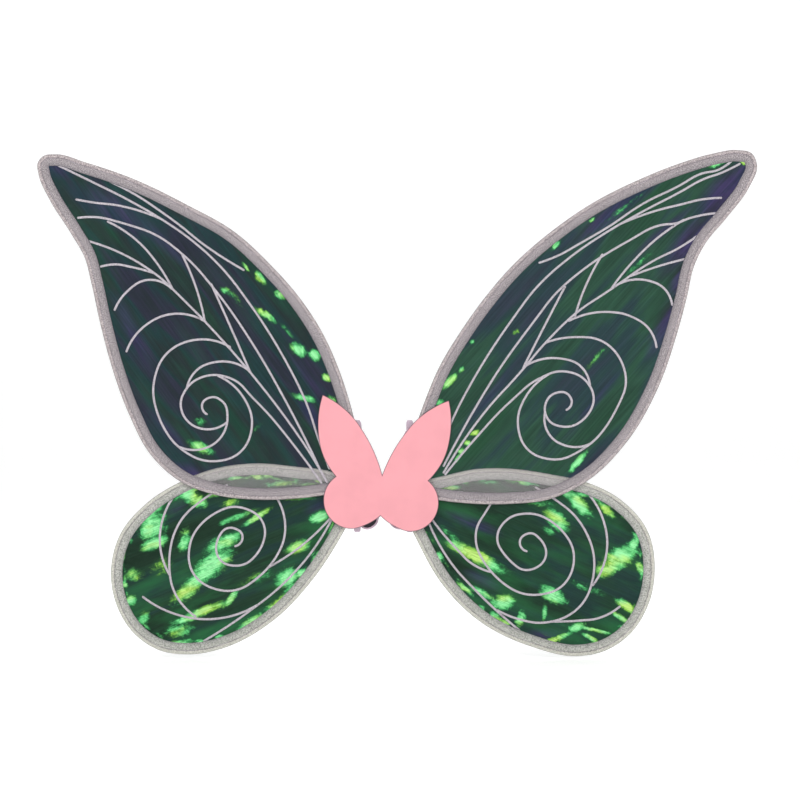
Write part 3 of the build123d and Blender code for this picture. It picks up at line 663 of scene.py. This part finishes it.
def ribbon_material(name, light, mid, dark):
    """Sheer organza ribbon with fused glitter: silvery specks over a grey ground, darker at the seam. The
    specks are drawn at 1.1 mm, coarser than the real 0.3 mm, so that they show."""
    material, tree, shader = new_material(
        name, Roughness=0.5, Specular_IOR_Level=0.45, Sheen_Weight=0.25, Sheen_Roughness=0.4,
        Sheen_Tint=linear("#d9cfdc"),
    )
    place = add(tree, "ShaderNodeTexCoord", out="Object")
    specks = add(tree, "ShaderNodeTexNoise", {"Vector": place, "Scale": 1 / (1.11 * MM), "Detail": 2.0,
                                              "Roughness": 0.7})
    ground = add(tree, "ShaderNodeValToRGB", {"Fac": specks}, stops=[(0.34, dark), (0.5, mid), (0.66, light)])
    across = add(tree, "ShaderNodeAttribute", out="Fac", attribute_name="across")
    bands = add(tree, "ShaderNodeValToRGB", {"Fac": across}, stops=[
        (0.0, "#9a9496"), (0.07, "#e2dcda"), (0.24, "#e6dddd"), (0.325, "#b9b3b5"), (0.345, "#8d888b"),
        (0.37, "#cbc6c7"), (0.62, "#c8c3c5"), (0.9, "#b2aeb2"), (1.0, "#98949a")])
    colour = add(tree, "ShaderNodeMix", {0: 1.0, 6: ground, 7: bands}, 2, data_type="RGBA",
                 blend_type="MULTIPLY")
    bump = add(tree, "ShaderNodeBump", {"Height": specks, "Strength": 0.35, "Distance": 0.3 * MM})
    connect(tree, shader, {"Base Color": colour, "Normal": bump})
    return material


def print_material():
    """Screen printed glitter ink: pale silver lilac, slightly rough, with a faint sparkle."""
    material, tree, shader = new_material("silver_glitter_ink", Roughness=0.45, Specular_IOR_Level=0.5)
    place = add(tree, "ShaderNodeTexCoord", out="Object")
    specks = add(tree, "ShaderNodeTexNoise", {"Vector": place, "Scale": 1 / (0.77 * MM), "Detail": 2.0})
    colour = add(tree, "ShaderNodeValToRGB", {"Fac": specks},
                 stops=[(0.35, "#857f86"), (0.5, "#a19ba2"), (0.64, "#bdb6bd")])
    bump = add(tree, "ShaderNodeBump", {"Height": specks, "Strength": 0.4, "Distance": 0.2 * MM})
    connect(tree, shader, {"Base Color": colour, "Normal": bump})
    return material


def grainy_material(name, low, mid, high, grain_mm, roughness, depth_mm=0.1, **more):
    """A matt surface with three close tones in a grain of the given size."""
    material, tree, shader = new_material(name, Roughness=roughness, **more)
    place = add(tree, "ShaderNodeTexCoord", out="Object")
    fine = add(tree, "ShaderNodeTexNoise",
               {"Vector": place, "Scale": 1 / (grain_mm * MM), "Detail": 4.0, "Roughness": 0.6})
    broad = add(tree, "ShaderNodeTexNoise",
                {"Vector": place, "Scale": 1 / (60 * grain_mm * MM), "Detail": 2.0})
    both = add(tree, "ShaderNodeMath", {0: fine, 1: 0.6, 2: broad}, operation="MULTIPLY_ADD")
    level = add(tree, "ShaderNodeMath", {0: both, 1: 0.3}, operation="SUBTRACT")
    colour = add(tree, "ShaderNodeValToRGB", {"Fac": level}, stops=[(0.36, low), (0.5, mid), (0.64, high)])
    bump = add(tree, "ShaderNodeBump", {"Height": fine, "Strength": 0.5, "Distance": depth_mm * MM})
    connect(tree, shader, {"Base Color": colour, "Normal": bump})
    return material


def cover_material(tones):
    """Soft craft foam, die cut: an even flat face, with painted shade, a dark grey mauve, on the cut edge."""
    material = grainy_material("pink_craft_foam", *tones, 0.45, 0.75, 0.05, Sheen_Weight=0.1)
    tree = material.node_tree
    shader = tree.nodes["Principled BSDF"]
    face = shader.inputs["Base Color"].links[0].from_socket
    place = add(tree, "ShaderNodeTexCoord", out="Object")
    # painted shade: across the foam's depth, the cut edge is painted dark grey mauve
    depth = add(tree, "ShaderNodeSeparateXYZ", {0: place}, "Y")
    low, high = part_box("front_cover")
    through = add(tree, "ShaderNodeMapRange", {"Value": depth, "From Min": low.y, "From Max": high.y})
    edge = add(tree, "ShaderNodeValToRGB", {"Fac": through},
               stops=[(0.008, 0.0), (0.05, 1.0), (0.94, 1.0), (0.99, 0.0)])
    colour = add(tree, "ShaderNodeMix", {0: edge, 6: face, 7: linear("#6d5058")}, 2, data_type="RGBA")
    connect(tree, shader, {"Base Color": colour})
    return material


def woven_material(name, light, dark, pitch_mm, **more):
    """Woven elastic or tape: cross threads every pitch along the strip, from the piece's own UV map."""
    material, tree, shader = new_material(name, Roughness=0.8, **more)
    place = add(tree, "ShaderNodeUVMap", uv_map="UVMap")
    # a wave texture of scale 1 repeats every tenth of pi
    wave = add(tree, "ShaderNodeTexWave", {
        "Vector": place, "Scale": math.pi / 10 / (pitch_mm * MM), "Distortion": 0.6, "Detail": 1.0,
        "Detail Scale": 3.0}, "Fac", wave_type="BANDS", bands_direction="Y")
    fuzz = add(tree, "ShaderNodeTexNoise", {"Vector": place, "Scale": 1 / (0.67 * MM), "Detail": 3.0})
    level = add(tree, "ShaderNodeMath", {0: wave, 1: 0.6, 2: fuzz}, operation="MULTIPLY_ADD")
    colour = add(tree, "ShaderNodeValToRGB", {"Fac": level}, stops=[(0.35, dark), (0.85, light)])
    bump = add(tree, "ShaderNodeBump", {"Height": level, "Strength": 0.5, "Distance": 0.2 * MM})
    connect(tree, shader, {"Base Color": colour, "Normal": bump})
    return material


# ---------------------------------------------------------------- the wings' pieces
def make_wire(wing):
    """The frame wire: a path through the ribbon's channel, given its round section."""
    line = wing.wire_line
    ends = [[(wing.side * x, z) for x in SLEEVE] for z in (line[0][1], line[-1][1])]
    route = [*ends[0], *line, *reversed(ends[1])]
    bpy.ops.object.select_all(action="DESELECT")
    bpy.ops.curve.primitive_nurbs_path_add()
    piece = bpy.context.object
    piece.name = piece.data.name = f"{wing.name}_frame_wire"
    path = piece.data
    path.splines.clear()
    spline = path.splines.new("POLY")
    spline.points.add(len(route) - 1)
    for point, (x, z) in zip(spline.points, route):
        point.co = (x * MM, wing.plane * MM, z * MM, 1.0)
    path.bevel_depth, path.bevel_resolution, path.use_fill_caps = WIRE_RADIUS * MM, 3, True
    bpy.ops.object.convert(target="MESH")
    piece = bpy.context.object
    normals_outside(piece)
    smooth(piece, 50)
    return piece


def make_ribbon(wing, settings):
    """The ribbon folded over the wire: front flange, seam, round the wire, seam, back flange."""
    wide = settings.ribbon_width / MM
    half = [(wide, 0.75), (11, 0.8), (8, 0.85), (5.6, 0.8), (SEAM, 0.62), (4.0, 1.1), (3.2, 1.55)]
    turn = [math.radians(a) for a in range(-90, 91, 15)]
    middle = RIM_RADIUS - RIBBON_WALL / 2
    round_wire = [(RIM_RADIUS - middle * math.cos(a), middle * math.sin(a)) for a in turn]
    profile = np.array([(n, -y) for n, y in half] + round_wire + half[::-1])
    rows, columns = len(wing.edge), len(profile)
    flat = wing.edge[:, None, :] + wing.inward[:, None, :] * profile[None, :, :1]
    station = np.arange(rows)[:, None] * LINE_STEP
    ease = np.clip((profile[:, 0] - SEAM) / 8, 0, 1)[None, :]
    face = np.sign(profile[:, 1])[None, :]
    ripple = RIPPLE * np.sin(station * 1.9 + 2 * np.sin(station * 0.13)) * ease * face
    depth = wing.plane + profile[None, :, 1] + ripple
    points = np.stack([flat[..., 0], depth, flat[..., 1]], axis=-1).reshape(-1, 3)
    across_strip = np.concatenate([[0], np.cumsum(np.linalg.norm(np.diff(profile, axis=0), axis=1))])
    uvs = np.stack(np.broadcast_arrays(across_strip[None, :] * MM, station * MM), axis=-1).reshape(-1, 2)
    piece = new_object(f"{wing.name}_edge_ribbon", points, grid_faces(rows, columns), uvs)
    point_attribute(piece, "across", np.tile(profile[:, 0] / wide, rows))
    apply_modifier(piece, "SOLIDIFY", thickness=RIBBON_WALL * MM, offset=0.0)
    normals_outside(piece)
    smooth(piece, 60)
    return piece


def make_panel(wing, settings, name, level, wall, rows, columns):
    """Film or net: one layer from edge to edge, crinkled alike."""
    flat = wing.panel_points(rows, columns).reshape(-1, 2)
    depth = [level + wing.depth(x, z, settings) for x, z in flat]
    points = np.column_stack([flat[:, 0], depth, flat[:, 1]])
    piece = new_object(f"{wing.name}_{name}", points, grid_faces(rows, columns), flat * MM)
    # glint: the painted highlights of the folds and the painted sparkle in the rim puckers
    point_attribute(piece, "glint", np.maximum(patches(flat, wing.facts["glints"]), wing.rim_glints(flat)))
    point_attribute(piece, "violet", patches(flat, wing.facts["violets"]))
    lapped = np.zeros(len(flat))
    if wing.name.startswith("upper"):
        behind = Wing(wing.name.replace("upper", "lower"))
        lapped = np.clip(0.5 + depth_inside(flat, behind.edge[::3]) / 20, 0, 1)
    point_attribute(piece, "lapped", lapped)
    apply_modifier(piece, "SOLIDIFY", thickness=wall, offset=0.0)
    normals_outside(piece)
    smooth(piece)
    return piece


def make_veins(wing, settings):
    """The printed veins, laid onto the crinkled film."""
    piece = node_copy(f"{wing.name}_veins", f"{wing.name}_printed_veins")
    mesh = bmesh.new()
    mesh.from_mesh(piece.data)
    for _ in range(4):
        long = [e for e in mesh.edges if e.calc_length() > 0.005]
        if not long:
            break
        bmesh.ops.subdivide_edges(mesh, edges=long, cuts=1)
        bmesh.ops.triangulate(mesh, faces=mesh.faces[:])
    for vertex in mesh.verts:
        vertex.co.y += (wing.depth(vertex.co.x / MM, vertex.co.z / MM, settings) + VEIN_SINK) * MM
    mesh.to_mesh(piece.data)
    mesh.free()
    smooth(piece, 40)
    return piece


def make_stitches(name, starts, ends, lift, radius=0.24):
    """Short threads from each start to its end. lift is the outward direction, one per stitch."""
    points, faces = [], []
    rings = ((-0.08, 0.35, -0.5), (0.12, 0.9, 0.3), (0.5, 1.0, 0.75), (0.88, 0.9, 0.3), (1.08, 0.35, -0.5))
    for a, b, up in zip(starts, ends, lift):
        a, b, up = Vector(a), Vector(b), Vector(up)
        sideways = (b - a).cross(up).normalized()
        first = len(points)
        for share, thick, raised in rings:
            middle = a.lerp(b, share) + up * raised * radius
            for k in range(6):
                turn = k * math.pi / 3
                points.append(middle + (sideways * math.cos(turn) + up * math.sin(turn)) * radius * thick)
        for ring in range(len(rings) - 1):
            for k in range(6):
                m = (k + 1) % 6
                low = first + ring * 6
                faces.append((low + k, low + m, low + 6 + m, low + 6 + k))
        last = first + (len(rings) - 1) * 6
        faces += [tuple(first + k for k in range(6)), tuple(last + k for k in reversed(range(6)))]
    piece = new_object(name, points, faces)
    normals_outside(piece)
    smooth(piece)
    return piece


def make_seam(wing, settings):
    """Both rows of lockstitches that hold the ribbon, one on each face."""
    line = wing.edge + wing.inward * (SEAM + 0.2)
    along = line_length(line)
    pitch = settings.stitch / MM + 0.6
    starts, ends, lift = [], [], []
    for face in (-1, 1):
        y = wing.plane + face * 0.85
        for i in range(int(along[-1] / pitch)):
            ends_of_stitch = []
            for at in (i * pitch, i * pitch + settings.stitch / MM):
                x, z = np.interp(at, along, line[:, 0]), np.interp(at, along, line[:, 1])
                ends_of_stitch.append((x, y, z))
            starts.append(ends_of_stitch[0])
            ends.append(ends_of_stitch[1])
            lift.append((0, face, 0))
    return make_stitches(f"{wing.name}_seam", starts, ends, lift)


class FAIRY_OT_wing(bpy.types.Operator):
    """Build one wing: its wire, edge ribbon, film, net, printed veins and seam"""

    bl_idname = "fairy_wings.wing"
    bl_label = "Build One Wing"

    wing: bpy.props.EnumProperty(
        name="Wing", description="Which wing", items=[(n, n.replace("_", " ").title(), "") for n in WINGS]
    )

    def execute(self, context):
        settings = context.scene.fairy_wings
        wing = Wing(self.wing)
        name = wing.name
        wire = make_wire(wing)
        dress(wire, shared_material("wire"), "frame_wire", f"{name}_wire", f"{name}_wire_root")
        ribbon = make_ribbon(wing, settings)
        recipe = "upper_ribbon" if name.startswith("upper") else "lower_ribbon"
        dress(ribbon, shared_material(recipe), "edge_ribbon", f"{name}_binding")
        place, wall = wing.plane + FILM_PLACE, settings.film_wall
        film = make_panel(wing, settings, "iridescent_film", place, wall, 200, 120)
        look = film_material(f"{name}_crinkled_film", wing.facts)
        dress(film, look, "iridescent_film", f"{name}_film")
        net = make_panel(wing, settings, "knitted_net", wing.plane + NET_PLACE, NET_WALL * MM, 100, 60)
        dress(net, shared_material("net"), "dark_net", f"{name}_net")
        veins = make_veins(wing, settings)
        dress(veins, shared_material("ink"), "glitter_print", f"{name}_veins")
        seam = make_seam(wing, settings)
        dress(seam, shared_material("thread"), "edge_ribbon")
        for piece in (wire, ribbon, film, net, veins, seam):
            across_fold(piece, wing)
        frame["nodes"][f"{name}_crimp_sleeve"].data.materials[0] = shared_material("crimp")
        return {"FINISHED"}


# ---------------------------------------------------------------- materials that several pieces share
# Each comment says what the finish gives the eye.
RECIPES = {
    # plastic coat: even dark green, satin
    "wire": lambda: grainy_material("plastic_coated_wire", "#20352a", "#274033", "#30493c", 3.0, 0.4, 0.02),
    "upper_ribbon": lambda: ribbon_material("lilac_glitter_ribbon", "#dedad9", "#aaa5a7", "#6a666b"),
    "lower_ribbon": lambda: ribbon_material("grey_glitter_ribbon", "#eef2e9", "#c4cabf", "#7f8680"),
    "net": net_material,
    "ink": print_material,
    # spun polyester: matt grey, light and dark along each strand
    "thread": lambda: grainy_material("grey_thread", "#6a646c", "#8d868f", "#b1aab3", 0.3, 0.7, 0.05),
    # nickel plate, dulled: soft grey reflections
    "crimp": lambda: grainy_material("nickel_crimp", "#8d8f92", "#a5a7aa", "#bcbec1", 2.0, 0.32, 0.02,
                                     Metallic=1.0),
    # needled felt: near black, with a soft fibrous edge to the light
    "felt": lambda: grainy_material("black_felt", "#0d0c0e", "#17151a", "#28252c", 0.5, 0.95, 0.3,
                                    Sheen_Weight=0.3, Sheen_Roughness=0.5),
    # overlock thread: matt mauve
    "mauve": lambda: grainy_material("mauve_thread", "#a08b99", "#c6afbf", "#dccdd6", 0.35, 0.75, 0.06),
    # closed cell foam: chalky white, fine pores
    "tape_foam": lambda: grainy_material("white_foam_tape", "#d9d7d0", "#e9e7e1", "#f4f2ee", 0.4, 0.9, 0.15),
    # woven cotton tape: matt black, slightly grainy
    "cloth_tape": lambda: grainy_material("black_cloth_tape", "#1b1b1d", "#27272a", "#363639", 0.35, 0.7,
                                          0.12),
    # woven elastic: mauve grey, ribbed across
    "elastic": lambda: woven_material("mauve_elastic", "#c3b2c0", "#8e7d8b", 0.9),
    # spun polyester: pale lilac, matt
    "strap_thread": lambda: grainy_material("pale_strap_thread", "#a99aa6", "#c9bcc6", "#ddd2da", 0.3, 0.7,
                                            0.05),
}
MADE = {}


def shared_material(key):
    if key not in MADE:
        MADE[key] = RECIPES[key]()
    return MADE[key]


# ---------------------------------------------------------------- the centre
def softened(node, name, rounding, segments=2):
    """A copy of a flat CAD piece with its cut edges rounded."""
    piece = node_copy(node, name)
    bpy.ops.object.mode_set(mode="EDIT")
    bpy.ops.mesh.select_all(action="SELECT")
    bpy.ops.mesh.dissolve_limited(angle_limit=math.radians(0.5))
    bpy.ops.mesh.select_all(action="DESELECT")
    bpy.ops.mesh.select_mode(type="EDGE")
    bpy.ops.mesh.edges_select_sharp(sharpness=math.radians(50))
    bpy.ops.mesh.bevel(offset=rounding, segments=segments, profile=0.5, affect="EDGES", clamp_overlap=True)
    bpy.ops.mesh.select_all(action="SELECT")
    bpy.ops.mesh.normals_make_consistent(inside=False)
    bpy.ops.object.mode_set(mode="OBJECT")
    smooth(piece, 35)
    return piece


def outline_of(node, depth):
    """The outer line of a flat CAD piece's face at the given depth in metres, in millimetres."""
    mesh = bmesh.new()
    mesh.from_mesh(frame["nodes"][node].data)
    bmesh.ops.remove_doubles(mesh, verts=mesh.verts, dist=0.000005)
    flat = {f for f in mesh.faces if all(abs(v.co.y - depth) < 0.00005 for v in f.verts)}
    rim = [e for e in mesh.edges if sum(f in flat for f in e.link_faces) == 1]
    after = {}
    for edge in rim:
        for a, b in (edge.verts, reversed(edge.verts)):
            after.setdefault(a.index, []).append(b.index)
    place = {v.index: (v.co.x / MM, v.co.z / MM) for v in mesh.verts}
    mesh.free()
    loops, left = [], set(after)
    while left:
        loop, here, before = [], min(left), None
        while here is not None and here in left:
            left.discard(here)
            loop.append(place[here])
            ahead = [k for k in after[here] if k != before and k in left]
            before, here = here, ahead[0] if ahead else None
        loops.append(np.array(loop))
    return max(loops, key=lambda line: np.ptp(line[:, 0]) * np.ptp(line[:, 1]))


def make_pad_edging(settings):
    """Overlock threads wound over the pad's cut edge, pressed flat where the strap ends lie."""
    low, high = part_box("back_pad")
    line = outline_of("back_pad", low.y)
    closed = np.vstack([line, line[:1]])
    pitch = settings.thread_pitch / MM
    turns = int(line_length(closed)[-1] / pitch)
    rows = turns * 6
    line = respaced(closed, rows + 1)[:-1]
    x, z = line[:, 0], line[:, 1]
    area = np.sum(x * np.roll(z, -1) - np.roll(x, -1) * z) / 2
    out = left_normals(line, closed=True) * (-1 if area > 0 else 1)
    bulge = 0.16 * np.abs(np.sin(np.arange(rows) * math.pi / 6))
    seat = np.abs(np.abs(x) - STRAP_PLACE) < STRAP_WIDTH / 2 + 0.6
    seat &= (z > 45.4) | ((z < -32.4) & (z > -56.6))
    back = np.where(seat, -1.2, 0.0)
    section = np.array([(-1.5, -0.5), (-1.1, -1), (0.3, -1), (0.95, -0.75), (1.15, 0), (0.95, 0.75), (0.3, 1),
                        (-1.1, 1), (-1.5, 0.5)])
    middle, half = (low.y / MM + back) / 2, (back - low.y / MM) / 2
    reach = section[None, :, 0] * (1 + 0.1 * bulge[:, None])
    flat = line[:, None, :] + out[:, None, :] * reach[..., None]
    depth = middle[:, None] + section[None, :, 1] * (half + 0.04 + bulge * 0.6)[:, None]
    points = np.stack([flat[..., 0], depth, flat[..., 1]], axis=-1).reshape(-1, 3)
    piece = new_object("pad_overlock", points, grid_faces(rows, len(section), True, True))
    normals_outside(piece)
    smooth(piece)
    return piece


class FAIRY_OT_centre(bpy.types.Operator):
    """Build the butterfly cover, the foam tapes, the root tape and the felt pad with its edging"""

    bl_idname = "fairy_wings.centre"
    bl_label = "Build Centre"

    def execute(self, context):
        settings = context.scene.fairy_centre
        foam = [float(c) for c in settings.foam]
        tones = [(*[c * share for c in foam], 1.0) for share in (0.97, 1.0, 1.02)]
        cover = softened("front_cover", "butterfly_cover", settings.cover_round, 4)
        dress(cover, cover_material(tones), "pink_foam", "front_cover")
        pad = softened("back_pad", "felt_pad", 0.3 * MM)
        dress(pad, shared_material("felt"), "black_felt", "back_pad")
        edging = make_pad_edging(settings)
        dress(edging, shared_material("mauve"), "mauve_thread", "back_pad_edging")
        tapes, wraps = [], []
        for node in ("front_foam_tape", "rear_foam_tape"):
            tapes.append(softened(node, f"{node}_cut", 0.2 * MM))
            dress(tapes[-1], shared_material("tape_foam"), "white_foam_tape", node)
        for node in ("left_root_wrap", "right_root_wrap"):
            wraps.append(softened(node, f"{node}_tape", 0.12 * MM))
            dress(wraps[-1], shared_material("cloth_tape"), "cloth_tape", node)
        for piece in (cover, pad, edging, *tapes, *wraps):
            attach(piece, "centre")
        return {"FINISHED"}


# ---------------------------------------------------------------- the straps
def make_strap(name, side):
    """A band of woven elastic along its route, with a thin rounded section."""
    route = smooth_line(STRAP_ROUTE, 30)
    route = respaced(route, int(line_length(route)[-1] / 1.0))
    out = left_normals(route)
    w, t = STRAP_WIDTH / 2, 0.5
    section = np.array([(-w, 0), (-w + 0.15, t * 0.8), (-w + 0.6, t), (-w / 2, t), (0, t), (w / 2, t),
                        (w - 0.6, t), (w - 0.15, t * 0.8), (w, 0), (w - 0.15, -t * 0.8), (w - 0.6, -t),
                        (w / 2, -t), (0, -t), (-w / 2, -t), (-w + 0.6, -t), (-w + 0.15, -t * 0.8)])
    flat = route[:, None, :] + out[:, None, :] * section[None, :, 1:]
    top, bottom = STRAP_FOLDS
    from_fold = np.minimum(np.minimum(top - route[:, 1], route[:, 1] - bottom), FOLD_ROUND)
    from_fold = np.where(route[:, 0] > 4.5, FOLD_ROUND, np.maximum(from_fold, 0.3))
    narrow = FOLD_ROUND - np.sqrt(FOLD_ROUND**2 - (FOLD_ROUND - from_fold) ** 2)
    across = side * STRAP_PLACE + section[None, :, 0] * (1 - narrow / w)[:, None]
    points = np.stack([across, flat[..., 0], flat[..., 1]], axis=-1).reshape(-1, 3)
    along = np.broadcast_to(line_length(route)[:, None], across.shape)
    uvs = np.stack([across * MM, along * MM], axis=-1).reshape(-1, 2)
    faces = grid_faces(len(route), len(section), closed_columns=True)
    count = len(section)
    faces += [tuple(range(count)), tuple(range(len(points) - count, len(points)))]
    piece = new_object(f"{name}_elastic", points, faces, uvs)
    normals_outside(piece)
    smooth(piece, 50)
    return piece


def make_sewn_boxes(name, side):
    """The stitched box and cross that holds each strap end."""
    wide, high = STITCH_BOX[0] / 2, STITCH_BOX[1] / 2
    starts, ends = [], []
    for middle in STITCH_BOXES:
        corners = [(-wide, -high), (wide, -high), (wide, high), (-wide, high), (-wide, -high), (wide, high)]
        legs = list(zip(corners, corners[1:])) + [((wide, -high), (-wide, high))]
        for a, b in legs:
            a, b = np.array(a), np.array(b)
            count = max(1, round(float(np.linalg.norm(b - a)) / 1.5))
            for k in range(count):
                p, q = a + (b - a) * (k + 0.1) / count, a + (b - a) * (k + 0.9) / count
                starts.append((side * STRAP_PLACE + p[0], -0.1, middle + p[1]))
                ends.append((side * STRAP_PLACE + q[0], -0.1, middle + q[1]))
    return make_stitches(f"{name}_sewn_boxes", starts, ends, [(0, 1, 0)] * len(starts), 0.26)


class FAIRY_OT_straps(bpy.types.Operator):
    """Build both elastic shoulder loops and their sewn ends"""

    bl_idname = "fairy_wings.straps"
    bl_label = "Build Straps"

    def execute(self, context):
        for name, side in (("left", -1), ("right", 1)):
            strap = make_strap(f"{name}_strap", side)
            dress(strap, shared_material("elastic"), "strap_elastic", f"{name}_strap", f"{name}_strap_ends")
            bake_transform(strap)
            boxes = make_sewn_boxes(f"{name}_strap", side)
            dress(boxes, shared_material("strap_thread"), "strap_thread", f"{name}_strap_stitching")
            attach(boxes, "centre")
        return {"FINISHED"}


# ---------------------------------------------------------------- the stage
def add_light(name, place, aim, size, power):
    data = bpy.data.lights.new(name, "AREA")
    data.shape, data.size, data.energy = "DISK", size, power
    lamp = bpy.data.objects.new(name, data)
    bpy.context.scene.collection.objects.link(lamp)
    lamp.location = place
    lamp.rotation_euler = (Vector(aim) - Vector(place)).to_track_quat("-Z", "Y").to_euler()


class FAIRY_OT_stage(bpy.types.Operator):
    """Build the white sweep, the lights and the camera"""

    bl_idname = "fairy_wings.stage"
    bl_label = "Build Stage"

    def execute(self, context):
        floor = CAD_BOX[0].z / MM - 3
        reach, bend, high = 6000, 1500, 9000
        turn = np.linspace(0.1, math.pi / 2, 14)
        far = [(reach, floor)]
        far += [(reach + bend * math.sin(a), floor + bend - bend * math.cos(a)) for a in turn]
        far.append((reach + bend, high))
        sweep = [(-y, z) for y, z in reversed(far)] + far
        points = [(x, y, z) for y, z in sweep for x in (-high, high)]
        backdrop = new_object("backdrop", points, grid_faces(len(sweep), 2))
        smooth(backdrop)
        # matt white paper sweep, lit evenly
        material, _, shader = new_material("white_sweep", Roughness=0.9, Specular_IOR_Level=0.1,
                                           Base_Color=linear("#f6f6f6"), Emission_Strength=0.25)
        shader.inputs["Emission Color"].default_value = linear("#ffffff")
        dress(backdrop, material)

        world = bpy.data.worlds.new("soft_room")
        world.use_nodes = True
        world.node_tree.nodes["Background"].inputs["Color"].default_value = linear("#ffffff")
        world.node_tree.nodes["Background"].inputs["Strength"].default_value = 0.62
        context.scene.world = world
        add_light("key", (-1.6, -2.6, 2.2), (0, 0, 0.1), 1.6, 54)
        add_light("fill", (2.2, -2.4, 1.0), (0, 0, 0.1), 1.8, 25)
        add_light("back", (0.2, 1.6, 2.4), (0, 0, 0.1), 1.5, 30)
        context.scene.view_settings.view_transform = "Standard"

        data = bpy.data.cameras.new("show_side")
        data.lens, data.sensor_width = 114.1, 36.0
        camera = bpy.data.objects.new("show_side", data)
        context.scene.collection.objects.link(camera)
        camera.location = (0.0195, -3.0, 0.1006)
        camera.rotation_euler = (math.radians(90), 0, 0)
        context.scene.camera = camera
        return {"FINISHED"}


class FAIRY_PT_wings(bpy.types.Panel):
    """The wings' settings and building steps"""

    bl_label = "Fairy Wings"
    bl_idname = "FAIRY_PT_wings"
    bl_space_type = "VIEW_3D"
    bl_region_type = "UI"
    bl_category = "Wings"

    def draw(self, context):
        for group in (context.scene.fairy_wings, context.scene.fairy_centre):
            box = self.layout.box()
            for key in group.__annotations__:
                box.prop(group, key)
        for name in WINGS:
            self.layout.operator("fairy_wings.wing", text=f"Build {name.replace('_', ' ')}").wing = name
        self.layout.operator("fairy_wings.centre")
        self.layout.operator("fairy_wings.straps")
        self.layout.operator("fairy_wings.stage")


CLASSES = (
    WingSettings, CentreSettings, FAIRY_OT_wing, FAIRY_OT_centre, FAIRY_OT_straps, FAIRY_OT_stage,
    FAIRY_PT_wings,
)


def register():
    for kind in CLASSES:
        bpy.utils.register_class(kind)
    bpy.types.Scene.fairy_wings = bpy.props.PointerProperty(type=WingSettings)
    bpy.types.Scene.fairy_centre = bpy.props.PointerProperty(type=CentreSettings)


def unregister():
    del bpy.types.Scene.fairy_centre
    del bpy.types.Scene.fairy_wings
    for kind in reversed(CLASSES):
        bpy.utils.unregister_class(kind)


def main():
    register()
    for name in WINGS:
        bpy.ops.fairy_wings.wing(wing=name)
    bpy.ops.fairy_wings.centre()
    bpy.ops.fairy_wings.straps()
    bpy.ops.fairy_wings.stage()


if __name__ == "__main__":
    main()
